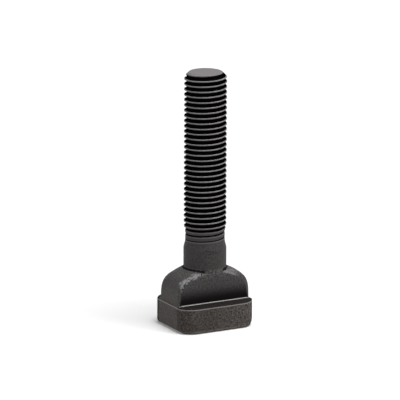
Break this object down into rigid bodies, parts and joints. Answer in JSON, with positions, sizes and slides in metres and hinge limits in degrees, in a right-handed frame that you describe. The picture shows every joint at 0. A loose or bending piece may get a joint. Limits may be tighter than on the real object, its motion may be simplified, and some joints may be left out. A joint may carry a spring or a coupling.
{
  "type": "t slot bolt",
  "caption": "Forged T-slot bolt with a flat oblong head, a domed neck with two flats and a long round threaded shank.",
  "frame": {"origin": "centre of the underside of the head, on the bolt's axis", "axes": "+Z along the bolt's axis towards the threaded end, X along the head's long side, Y across the flats of the neck"},
  "size_m": [0.0462, 0.038, 0.1443],
  "materials": {
    "dark_forged_steel": "black oxide on forged steel, satin, mid-grey on the rolled thread"
  },
  "bodies": {
    "root": {"t_slot_bolt": "dark_forged_steel"}
  },
  "joints": []
}
